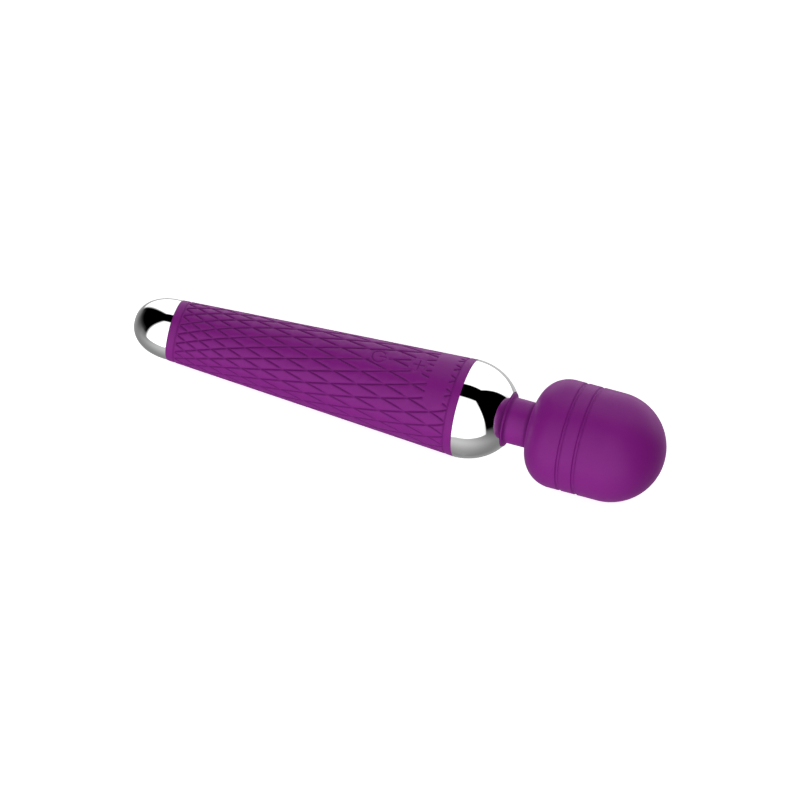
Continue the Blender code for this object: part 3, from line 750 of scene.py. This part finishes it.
def sleeve_border(rear, front):
    """The edges of the unrolled sleeve, with a point for each facet of its ends."""
    half = math.pi * UNROLL_RADIUS
    across = [half * (2 * step / SLEEVE_SEGMENTS - 1) for step in range(SLEEVE_SEGMENTS + 1)]
    along = [rear + (front - rear) * step / SEAM_STEPS for step in range(1, SEAM_STEPS)]
    border = [(place, rear) for place in across] + [(half, x) for x in along]
    return border + [(place, front) for place in across[::-1]] + [(-half, x) for x in along[::-1]]


def grip_sleeve(finish):
    """The silicone sleeve, with its carved pattern, a hole for each button and rounded ends."""
    fillet = 0.25 * MM
    rear = REAR_CAP_LENGTH + fillet
    front = SLEEVE_FRONT - fillet

    def inner_radius(x):
        return sleeve_radius(x) - SLEEVE_WALL

    def inner_surface(across, along, sink):
        return sleeve_surface(across, along, SLEEVE_WALL)

    def hole_gap(across, along, radius, surface_radius):
        turn = across / UNROLL_RADIUS
        return min(button_gap(turn, along, x, surface_radius) for x in BUTTONS.values()) - radius

    def outer_gap(across, along):
        return hole_gap(across, along, HOLE_RADIUS + BUTTON_EDGE, sleeve_radius)

    def inner_gap(across, along):
        return hole_gap(across, along, HOLE_RADIUS, inner_radius)

    bm = bmesh.new()
    holes = [button_loop(x, HOLE_RADIUS + BUTTON_EDGE, sleeve_radius) for x in BUTTONS.values()]
    routes = spiral_routes() + ring_routes()
    carve(
        bm, [sleeve_border(rear, front), *holes], routes, GROOVE_WIDTH, GROOVE_DEPTH,
        sleeve_surface, sleeve_stretch, outer_gap, math.pi * UNROLL_RADIUS,
    )  # fmt: skip
    for x in BUTTONS.values():
        rim = []
        for out, sink in EDGE_STEPS:
            loop = button_loop(x, HOLE_RADIUS + out, sleeve_radius)
            rim.append([sleeve_surface(across, along, sink) for across, along in loop])
        loop = button_loop(x, HOLE_RADIUS, inner_radius)
        rim.append([inner_surface(across, along, 0) for across, along in loop])
        add_strip(bm, rim)
    holes = [button_loop(x, HOLE_RADIUS, inner_radius) for x in BUTTONS.values()]
    carve(
        bm, [sleeve_border(rear, front), *holes], [], GROOVE_WIDTH, 0,
        inner_surface, sleeve_stretch, inner_gap, spacing=6 * MM, flip=False,
    )  # fmt: skip
    for station, end in ((rear, REAR_CAP_LENGTH), (front, SLEEVE_FRONT)):
        out = math.copysign(1, end - station)
        rings = []
        for turn in np.linspace(0, math.pi / 2, 6):
            x = end - out * fillet * (1 - math.sin(turn))
            rings.append((x, sleeve_radius(x) - fillet * (1 - math.cos(turn))))
        rings += [(end, sleeve_radius(end) - SLEEVE_WALL), (station, inner_radius(station))]
        loops = []
        for x, radius in rings:
            turns = [math.pi * (2 * step / SLEEVE_SEGMENTS - 1) for step in range(SLEEVE_SEGMENTS)]
            loops.append([Vector((x, radius * math.sin(turn), radius * math.cos(turn))) for turn in turns])
        add_strip(bm, loops)
    bmesh.ops.remove_doubles(bm, verts=bm.verts, dist=WELD)
    bmesh.ops.recalc_face_normals(bm, faces=bm.faces)
    piece = add_piece("sleeve", bm, finish, "purple_silicone", ["grip_sleeve"])
    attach(piece, "handle")


def power_routes(x):
    """The power symbol: an open ring with a bar through its gap, which points towards the head."""
    turns = np.linspace(POWER_GAP, 2 * math.pi - POWER_GAP, 160)
    ring = [(POWER_RING * math.sin(turn), x + POWER_RING * math.cos(turn), SYMBOL_STRENGTH) for turn in turns]
    bar = [(0.0, x + along, SYMBOL_STRENGTH) for along in np.linspace(*POWER_BAR, 40)]
    return [ring, bar]


def plus_routes(x):
    """The plus symbol."""
    steps = np.linspace(-PLUS_REACH, PLUS_REACH, 50)
    level = [(step, x, SYMBOL_STRENGTH) for step in steps]
    return [level, [(0.0, x + step, SYMBOL_STRENGTH) for step in steps]]


def button_pad(name, x, routes, finish, body, node):
    """A key: a round piece of the sleeve's surface with its symbol carved in, and the plunger under it."""

    def surface(across, along, sink):
        return Vector((along, across, math.sqrt(sleeve_radius(along) ** 2 - across**2) - sink))

    def circle(radius):
        turns = [2 * math.pi * step / HOLE_SEGMENTS for step in range(HOLE_SEGMENTS)]
        return [(radius * math.sin(turn), x + radius * math.cos(turn)) for turn in turns]

    def rim_gap(across, along):
        return PAD_RADIUS - BUTTON_EDGE - math.hypot(across, along - x)

    bm = bmesh.new()
    carve(
        bm, [circle(PAD_RADIUS - BUTTON_EDGE)], routes, SYMBOL_WIDTH, SYMBOL_DEPTH,
        surface, lambda along: 1.0, rim_gap, spacing=0.9 * MM,
    )  # fmt: skip
    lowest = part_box(node)[0]
    foot = (LIE.inverted() @ Vector((lowest.x, 0, lowest.z))).z
    steps = [(PAD_RADIUS - out, sink) for out, sink in EDGE_STEPS]
    steps += [(PAD_RADIUS, PAD_WALL), (PLUNGER_RADIUS + 0.3 * MM, PAD_WALL)]
    rim = [[surface(*point, sink) for point in circle(radius)] for radius, sink in steps]
    for height in (sleeve_radius(x) - PAD_WALL - 0.3 * MM, foot + 0.2 * MM):
        rim.append([Vector((along, across, height)) for across, along in circle(PLUNGER_RADIUS)])
    rim.append([Vector((along, across, foot)) for across, along in circle(PLUNGER_RADIUS - 0.2 * MM)])
    rim.append([Vector((along, across, foot)) for across, along in circle(0.2 * MM)])
    add_strip(bm, rim)
    bmesh.ops.remove_doubles(bm, verts=bm.verts, dist=WELD)
    bmesh.ops.holes_fill(bm, edges=bm.edges, sides=HOLE_SEGMENTS)
    bmesh.ops.recalc_face_normals(bm, faces=bm.faces)
    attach(add_piece(name, bm, finish, "purple_silicone", [node]), body)


def rear_cap(finish):
    """The chrome dome at the rear, with the socket's hole in its pole and a spigot that enters the shell."""
    end = REAR_CAP_LENGTH - 0.03 * MM
    hole = SOCKET_RADIUS + 0.12 * MM
    spigot = sleeve_radius(end) - SLEEVE_WALL - SHELL_WALL
    spigot_end = end + 6.6 * MM
    pole = hole + 0.15 * MM
    outline = dome(REAR_CAP_LENGTH, 0, REAR_CAP_RADIUS, pole, REAR_CAP_RADIUS * 0.9999, 64, REAR_CAP_POWER)
    outline += rounded(
        [(end - 0.2 * MM, REAR_CAP_RADIUS, 0), (end, REAR_CAP_RADIUS, 0.15 * MM), (end, spigot, 0.1 * MM),
         (spigot_end, spigot, 0.2 * MM), (spigot_end, spigot - SPIGOT_WALL, 0)]
    )  # fmt: skip
    inner_end = end - 2 * MM
    inner_radius = REAR_CAP_RADIUS - CAP_WALL
    outline += [(inner_end, spigot - SPIGOT_WALL)]
    outline += dome(inner_end, CAP_WALL, inner_radius, inner_radius, hole, 20, REAR_CAP_POWER)
    outline += [(outline[0][0] + 0.12 * MM, hole)]
    bm = turned(refined(outline, 1.2 * MM))
    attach(add_piece("rear_dome", bm, finish, "chrome", ["rear_cap"]), "handle")


def charge_socket(finish, pin_finish):
    """The barrel socket in the rear cap, and the metal pin in its middle."""
    flange = SOCKET_FACE + 2.8 * MM
    back = SOCKET_FACE + 8.2 * MM
    floor = SOCKET_FACE + 6.0 * MM
    flange_end = flange + 1 * MM
    corners = [
        (floor, 0, 0), (floor, SOCKET_HOLE, 0), (SOCKET_FACE, SOCKET_HOLE, 0.15 * MM),
        (SOCKET_FACE, SOCKET_RADIUS, 0.15 * MM), (flange, SOCKET_RADIUS, 0),
        (flange, SOCKET_FLANGE, 0.15 * MM), (flange_end, SOCKET_FLANGE, 0.15 * MM),
        (flange_end, SOCKET_RADIUS, 0), (back, SOCKET_RADIUS, 0.2 * MM), (back, 0, 0),
    ]  # fmt: skip
    bm = turned(refined(rounded(corners), 1 * MM), 96, closed=False)
    socket = add_piece("socket_body", bm, finish, "black_plastic", ["charge_socket"])
    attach(socket, "handle")
    tip = SOCKET_FACE + 0.8 * MM
    corners = [(tip, 0, 0), (tip, SOCKET_PIN, 0.2 * MM), (floor, SOCKET_PIN, 0), (floor, 0, 0)]
    bm = turned(rounded(corners), 32, closed=False)
    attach(add_piece("socket_pin", bm, pin_finish, "brass", []), "handle")


def front_cap(finish):
    """The chrome dome at the front. Its spigot enters the shell and its mouth holds the neck's collar."""
    start = SLEEVE_FRONT + 0.03 * MM
    tip = SLEEVE_FRONT + FRONT_CAP_SEMI_AXIS
    spigot = sleeve_radius(SHELL_FRONT) - SLEEVE_WALL - SHELL_WALL
    mouth_edge = MOUTH_RADIUS + 0.2 * MM
    outline = [(start, FRONT_RADIUS - 0.12 * MM), (start + 0.04 * MM, FRONT_RADIUS - 0.03 * MM)]
    outline += dome(SLEEVE_FRONT, tip, FRONT_RADIUS, FRONT_RADIUS * 0.99999, mouth_edge, 90)
    edge = outline[-1][0]
    outline += arc((edge - 0.12 * MM, mouth_edge - 0.16 * MM), 0.2 * MM, 40, -90, 7)[1:]
    inner_radius = FRONT_RADIUS - CAP_WALL
    inner = dome(SLEEVE_FRONT, tip - CAP_WALL, inner_radius, MOUTH_RADIUS, inner_radius * 0.99, 24)
    web = start + 2.2 * MM
    outline += [point for point in inner if point[0] > web]
    outline += [(web, inner_radius * 0.99), (web, spigot - SPIGOT_WALL)]
    outline += [(SHELL_FRONT, spigot - SPIGOT_WALL), (SHELL_FRONT, spigot), (start, spigot)]
    bm = turned(refined(outline, 1.2 * MM))
    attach(add_piece("front_dome", bm, finish, "chrome", ["front_cap"]), "handle")


def neck(finish):
    """The silicone neck, in two stretches that meet inside it, one for each hinge."""
    front = HEAD_REAR + 0.5 * MM
    waist = NECK_FRONT_RADIUS - 0.5 * MM
    collar = [(COLLAR_REAR, NECK_BORE, 0), (COLLAR_REAR, LIP_RADIUS, 0.3 * MM)]
    collar += [(LIP_FRONT, LIP_RADIUS, 0.12 * MM), (NECK_START, NECK_RADIUS, 0.7 * MM)]
    collar += [(NECK_MIDDLE, NECK_RADIUS, 0)]
    rear_outline = refined(rounded(collar, 8) + [(NECK_MIDDLE, NECK_BORE)], 0.3 * MM)
    ahead = [(NECK_MIDDLE, NECK_BORE, 0), (NECK_MIDDLE, NECK_RADIUS, 0)]
    ahead += [(HEAD_REAR - 1.6 * MM, NECK_FRONT_RADIUS, 1.5 * MM)]
    ahead += [(HEAD_REAR, waist, 0), (front, waist, 0), (front, NECK_BORE, 0)]
    ahead = rounded(ahead, 6)
    # Painted shade in the cove in front of the lip.
    cove = paint_crease_shade(turned(rear_outline), [(NECK_START + 0.2 * MM, 0.9 * MM, 0.45)])
    rear = add_piece("neck_rear", cove, finish, "purple_silicone", ["neck_sleeve"])
    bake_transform(rear)
    # Painted shade where the neck goes into the head.
    joint = paint_crease_shade(turned(refined(ahead, 0.3 * MM)), [(HEAD_REAR, 2.4 * MM, 0.6)])
    forward = add_piece("neck_front", joint, finish, "purple_silicone", ["neck_sleeve"])
    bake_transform(forward)


def on_axis(x):
    return LIE @ Vector((x, 0, 0))


def neck_insides(spring_finish, wire_finish):
    """The coil spring and the motor's lead in the neck, each in the same two stretches as the neck."""
    start = COLLAR_REAR + SPRING_WIRE
    end = HEAD_REAR + COVER_WALL - SPRING_WIRE
    steps = SPRING_TURNS * 36
    coil = []
    for step in range(steps + 1):
        turn = 2 * math.pi * SPRING_TURNS * step / steps
        x = start + (end - start) * step / steps
        coil.append((x, SPRING_RADIUS * math.cos(turn), SPRING_RADIUS * math.sin(turn)))
    wire = [(x, 0, 0) for x in np.linspace(*LEAD_ENDS, 22)]
    for name, node, route, radius, finish, slot in (
        ("spring", "neck_spring", coil, SPRING_WIRE, spring_finish, "steel"),
        ("lead", "motor_lead_neck", wire, LEAD_RADIUS, wire_finish, "black_wire"),
    ):
        split = next(index for index, point in enumerate(route) if point[0] >= NECK_MIDDLE)
        behind = add_piece(f"{name}_rear", swept(route[: split + 1], radius), finish, slot, [node])
        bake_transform(behind)
        ahead = add_piece(f"{name}_front", swept(route[split:], radius), finish, slot, [node])
        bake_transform(ahead)


def head_cover(finish):
    """The silicone head: a rolled edge round the neck, a round shoulder, two ring grooves and the nose."""
    roll = 0.6 * MM
    roll_radius = HEAD_RADIUS - SHOULDER_RADIUS
    mouth = HEAD_REAR + 1.2 * MM
    outline = [(mouth, roll_radius - roll)]
    outline += arc((HEAD_REAR + roll, roll_radius), roll, 270, 180, 7)
    outline += arc((SHOULDER_CENTRE, roll_radius), SHOULDER_RADIUS, 180, 90, 40)[1:]
    floor = HEAD_RADIUS - 0.6 * MM
    corners = [(SHOULDER_CENTRE, HEAD_RADIUS, 0)]
    for rear, front in HEAD_GROOVES:
        corners += [(rear, HEAD_RADIUS, 0.2 * MM), (rear + 0.4 * MM, floor, 0.15 * MM)]
        corners += [(front - 0.4 * MM, floor, 0.15 * MM), (front, HEAD_RADIUS, 0.2 * MM)]
    corners += [(NOSE_CENTRE, HEAD_RADIUS, 0)]
    outline += refined(rounded(corners, 4), 0.8 * MM)[1:]
    outline += arc((NOSE_CENTRE, 0), HEAD_RADIUS, 90, 0, 72)[1:-1]
    outline += [(NOSE_CENTRE + HEAD_RADIUS, 0)]
    inner = arc((NOSE_CENTRE, 0), HEAD_RADIUS - COVER_WALL, 0, 90, 16)
    inner += arc((SHOULDER_CENTRE, roll_radius), SHOULDER_RADIUS - COVER_WALL, 90, 180, 10)
    inner[0] = (inner[0][0], 0)
    outline += inner + [(HEAD_REAR + COVER_WALL, NECK_BORE), (mouth, NECK_BORE)]
    # Painted shade where the head meets the neck, and in its two ring grooves, most at each groove's front
    # wall.
    creases = [(HEAD_REAR, 1.2 * MM, 0.6)]
    for rear, front in HEAD_GROOVES:
        creases += [(rear + 0.2 * MM, 0.5 * MM, 0.1), (front - 0.2 * MM, 0.6 * MM, 0.35)]
    cover = paint_crease_shade(turned(outline), creases)
    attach(add_piece("head", cover, finish, "purple_silicone", ["head_cover"]), "head")


def finish_cad_nodes(finishes):
    """The inner pieces keep their CAD shapes and take these finishes."""
    for finish, names in finishes.items():
        for name in names:
            materials = frame["nodes"][name].data.materials
            materials.clear()
            materials.append(finish)


# ---------------------------------------------------------------- studio and camera


def studio_world():
    """Light from all round, white to the camera: a white box in front, one behind, and grey ground below.

    A direction is told by its slopes: across and height are x and z for each unit of y, in front or behind.
    """
    world = bpy.data.worlds.new("studio")
    bpy.context.scene.world = world
    world.use_nodes = True
    nodes, links = world.node_tree.nodes, world.node_tree.links

    def maths(operation, first, second=0.0, third=0.0):
        node = nodes.new("ShaderNodeMath")
        node.operation = operation
        for socket, value in zip(node.inputs, (first, second, third)):
            if isinstance(value, (int, float)):
                socket.default_value = value
            else:
                links.new(value, socket)
        return node.outputs["Value"]

    def ramp(value, low, high):
        """0 below low and 1 above high, with a smooth step between them."""
        node = nodes.new("ShaderNodeMapRange")
        node.interpolation_type = "SMOOTHSTEP"
        node.inputs["From Min"].default_value = low
        node.inputs["From Max"].default_value = high
        links.new(value, node.inputs["Value"])
        return node.outputs["Result"]

    place = nodes.new("ShaderNodeTexCoord").outputs["Generated"]
    parts = nodes.new("ShaderNodeSeparateXYZ")
    links.new(place, parts.inputs["Vector"])
    x, y, z = parts.outputs["X"], parts.outputs["Y"], parts.outputs["Z"]
    depth = maths("MAXIMUM", maths("ABSOLUTE", y), 0.001)
    across = maths("DIVIDE", x, depth)
    height = maths("DIVIDE", z, depth)
    opposite = maths("MULTIPLY", across, -1)
    sinking = maths("MULTIPLY", height, -1)
    in_front = ramp(maths("MULTIPLY", y, -1), -0.02, 0.02)

    # The boxes: soft at their edges, dimmer near their right sides low down, and the front one brightest low
    # down. The front one reaches lower too, most of all to the left of the middle.
    soft = 0.05
    lean = 0.17
    left_edge = (-1.36, -0.95)
    right_edge = -1.22
    top_edge = -3.6
    foot_edge = -0.36
    left = ramp(maths("MULTIPLY_ADD", height, lean, across), *left_edge)
    right = ramp(opposite, right_edge - soft, right_edge + soft)
    top = ramp(sinking, top_edge - 3 * soft, top_edge + 3 * soft)
    front_foot = maths("MULTIPLY", in_front, maths("MULTIPLY_ADD", ramp(opposite, 0.0, 0.3), 0.1, 0.08))
    foot = ramp(maths("ADD", front_foot, height), foot_edge - soft, foot_edge + soft)
    boxes = maths("MULTIPLY", maths("MULTIPLY", left, right), maths("MULTIPLY", top, foot))
    low = ramp(sinking, -2.2, 0.0)
    low_glow = maths("MULTIPLY_ADD", in_front, 0.38, 0.16)
    even_glow = maths("MULTIPLY_ADD", in_front, -0.14, 1.19)
    glow = maths("MULTIPLY_ADD", low, low_glow, even_glow)
    middle = ramp(opposite, right_edge, -0.8)
    dimmed = maths("MULTIPLY", ramp(sinking, -0.7, -0.1), maths("SUBTRACT", 1.0, middle))
    box_light = maths("MULTIPLY", glow, maths("SUBTRACT", 1.0, maths("MULTIPLY", dimmed, 0.45)))

    # The ground: grey straight down, lighter in front and behind, and dark towards the horizon at the sides.
    depression = maths("MULTIPLY", z, -1)
    level_square = maths("ADD", maths("MULTIPLY", x, x), maths("MULTIPLY", y, y))
    facing = maths("DIVIDE", depth, maths("SQRT", level_square))
    toward = maths("MULTIPLY", maths("MULTIPLY", facing, facing), ramp(depression, 0.0, 0.2))
    lit = maths("MULTIPLY_ADD", ramp(z, -1.05, -0.55), 0.31, 0.06)
    to_the_right = maths("MULTIPLY", ramp(depression, 0.04, 0.68), 0.22)
    to_the_left = maths("MULTIPLY", ramp(depression, -0.22, 0.66), 0.24)
    leftward = ramp(opposite, 1.2, 2.2)
    beside = maths("MULTIPLY_ADD", leftward, maths("SUBTRACT", to_the_left, to_the_right), to_the_right)
    ground = maths("MULTIPLY_ADD", toward, lit, beside)
    outside = maths("MULTIPLY", ground, maths("SUBTRACT", 1.0, boxes))
    light = maths("MULTIPLY_ADD", boxes, box_light, outside)
    seen = nodes.new("ShaderNodeLightPath").outputs["Is Camera Ray"]
    strength = maths("ADD", maths("MULTIPLY", light, maths("SUBTRACT", 1.0, seen)), seen)
    links.new(strength, nodes["Background"].inputs["Strength"])
    nodes["Background"].inputs["Color"].default_value = (1, 1, 1, 1)


def pale_floor():
    """A pale matt sweep that the wand lies on."""
    made, nodes, links, shader, place = node_material("pale_floor")
    patches = noise(nodes, links, place, 12, 3)
    toned(nodes, links, shader, patches, (0.93, 0.93, 0.93), (0.95, 0.95, 0.95))
    shader.inputs["Roughness"].default_value = 0.9
    shader.inputs["Specular IOR Level"].default_value = 0.1
    shader.inputs["Emission Color"].default_value = (1, 1, 1, 1)
    shader.inputs["Emission Strength"].default_value = 0.72
    bm = bmesh.new()
    bmesh.ops.create_grid(bm, x_segments=8, y_segments=8, size=3.0)
    mesh = bpy.data.meshes.new("floor")
    bm.to_mesh(mesh)
    bm.free()
    mesh.materials.append(made)
    floor = bpy.data.objects.new("floor", mesh)
    floor.location.z = -0.05 * MM
    floor.visible_glossy = False
    floor.visible_diffuse = False
    bpy.context.collection.objects.link(floor)


def camera():
    """An orthographic camera at the photograph's angle: the head tips towards it and dips to the right."""
    right, up, back = Vector((1, 0, 0)), Vector((0, 1, 0)), Vector((0, 0, 1))
    along_picture = math.cos(AXIS_DIP) * right - math.sin(AXIS_DIP) * up
    across_picture = math.sin(AXIS_DIP) * right + math.cos(AXIS_DIP) * up
    axis = math.cos(AXIS_TIP) * along_picture + math.sin(AXIS_TIP) * back
    facing = math.cos(AXIS_TIP) * back - math.sin(AXIS_TIP) * along_picture
    buttons = math.cos(BUTTON_TURN) * facing + math.sin(BUTTON_TURN) * across_picture
    seen_from_wand = Matrix((axis, buttons.cross(axis), buttons))
    turn = LIE.to_3x3() @ seen_from_wand
    aim = on_axis(AIM) - turn @ across_picture * AIM_DROP
    data = bpy.data.cameras.new("camera")
    data.type = "ORTHO"
    data.ortho_scale = VIEW_WIDTH
    made = bpy.data.objects.new("camera", data)
    made.matrix_world = Matrix.Translation(aim + turn @ back * 1.0) @ turn.to_4x4()
    bpy.context.collection.objects.link(made)
    bpy.context.scene.camera = made


purple = silicone()
mirror = chrome()
black_plastic = moulded("black_plastic", (0.018, 0.018, 0.02), 0.42)
black_wire = moulded("black_wire", (0.02, 0.02, 0.022), 0.45, grain=3000, relief=0.01)
steel = machined("steel", (0.56, 0.56, 0.57), 0.28)
brass = machined("brass", (0.72, 0.52, 0.2), 0.3)

grip_sleeve(purple)
for key, symbol_routes in (("power", power_routes), ("plus", plus_routes)):
    station = BUTTONS[f"{key}_button"]
    button_pad(f"{key}_pad", station, symbol_routes(station), purple, f"{key}_key", f"{key}_button")
rear_cap(mirror)
charge_socket(black_plastic, brass)
front_cap(mirror)
neck(purple)
neck_insides(steel, black_wire)
head_cover(purple)
screws = [f"{part}_screw_{end}" for part in ("shell", "board") for end in ("rear", "front")]
housing = moulded("housing_plastic", (0.04, 0.04, 0.045), 0.5)
rubber = moulded("black_rubber", (0.02, 0.02, 0.02), 0.8)
red_wire = moulded("red_wire", (0.5, 0.02, 0.02), 0.45, grain=3000, relief=0.01)
finish_cad_nodes(
    {
        housing: ["shell_upper", "shell_lower", "head_frame", "head_nose"],
        black_plastic: ["neck_socket", "motor_end_bell", "motor_driver", "power_switch", "plus_switch"],
        moulded("ivory_plastic", (0.68, 0.63, 0.5), 0.45): ["motor_connector", "neck_bush"],
        circuit(): ["control_board"],
        moulded("cell", (0.03, 0.13, 0.42), 0.3, grain=600, relief=0.02): ["battery"],
        foam(): ["battery_pad_rear", "battery_pad_front"],
        steel: screws + ["motor_can"],
        machined("bronze", (0.5, 0.32, 0.14), 0.35): ["motor_bush"],
        brass: ["eccentric_weight"],
        windings(): ["motor_rotor"],
        moulded("magnet", (0.1, 0.1, 0.105), 0.5): ["motor_magnet_left", "motor_magnet_right"],
        rubber: ["motor_cushion_rear", "motor_cushion_front"],
        black_wire: ["charge_lead", "battery_wire_negative", "motor_lead_rear", "motor_lead_front"],
        red_wire: ["battery_wire_positive"],
    }
)
studio_world()
pale_floor()
camera()
bpy.context.scene.view_settings.view_transform = "Standard"

bpy.context.view_layer.update()
